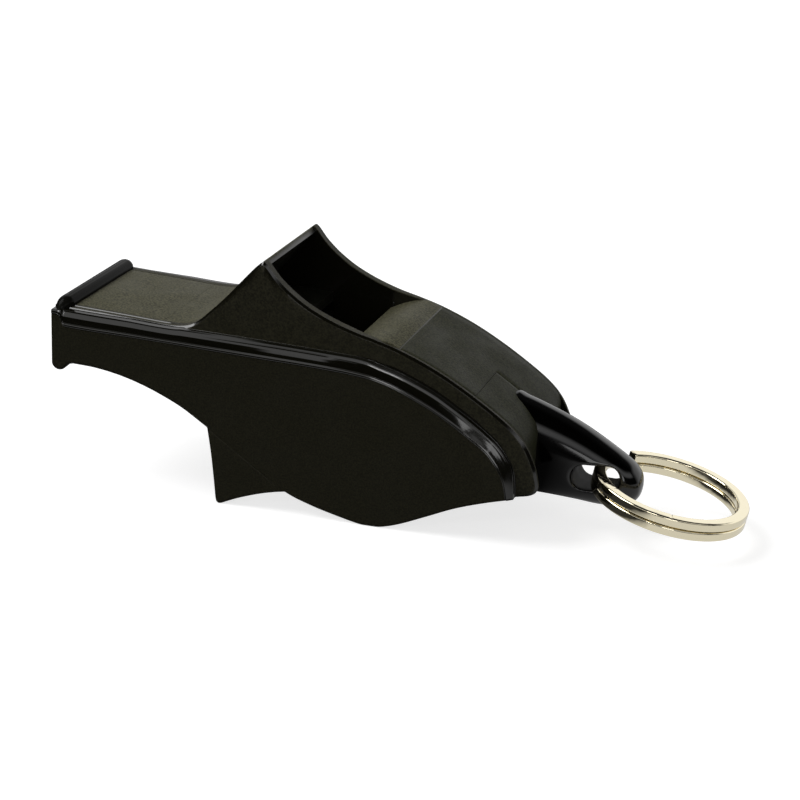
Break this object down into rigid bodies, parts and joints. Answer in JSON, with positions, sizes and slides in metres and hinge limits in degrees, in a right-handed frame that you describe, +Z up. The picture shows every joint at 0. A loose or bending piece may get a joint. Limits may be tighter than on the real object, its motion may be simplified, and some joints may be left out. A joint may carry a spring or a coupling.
{
  "type": "sports whistle",
  "caption": "Pealess moulded sports whistle shaped like a fish, with a windowed dorsal fin, twin chambers, belly fins and a split ring in its tail loop.",
  "frame": {"origin": "centre of the footprint, on the surface that the belly and the two belly fins stand on", "axes": "+X from the mouth to the ring, +Y across the whistle to its left, +Z up"},
  "size_m": [0.0712, 0.0184, 0.0259],
  "materials": {
    "side_plastic": "satin black moulded plastic with a very fine spark texture",
    "deck_plastic": "matte warm black moulded plastic, paler than the sides in the light",
    "inner_plastic": "matte black moulded plastic",
    "loop_plastic": "polished glossy black moulded plastic",
    "ring_steel": "bright nickel plate with a faint yellow cast"
  },
  "bodies": {
    "whistle": {"left_side_cover": "side_plastic", "right_side_cover": "side_plastic", "mouth_deck": "deck_plastic", "dorsal_fin": "deck_plastic", "mouth_floor": "inner_plastic", "belly_shell": "inner_plastic", "left_windway_floor": "inner_plastic", "right_windway_floor": "inner_plastic", "centre_partition": "inner_plastic", "labium_insert": "deck_plastic", "back_shell": "deck_plastic", "chamber_plug": "deck_plastic", "tail_loop": "loop_plastic"},
    "ring": {"split_ring": "ring_steel"}
  },
  "joints": [
    {"name": "ring_swing", "type": "hinge", "parent": "whistle", "child": "ring", "pos_m": [0.02038, 0, 0.00588], "axis": [0, -1, 0], "range_deg": [-140, 135]}
  ]
}
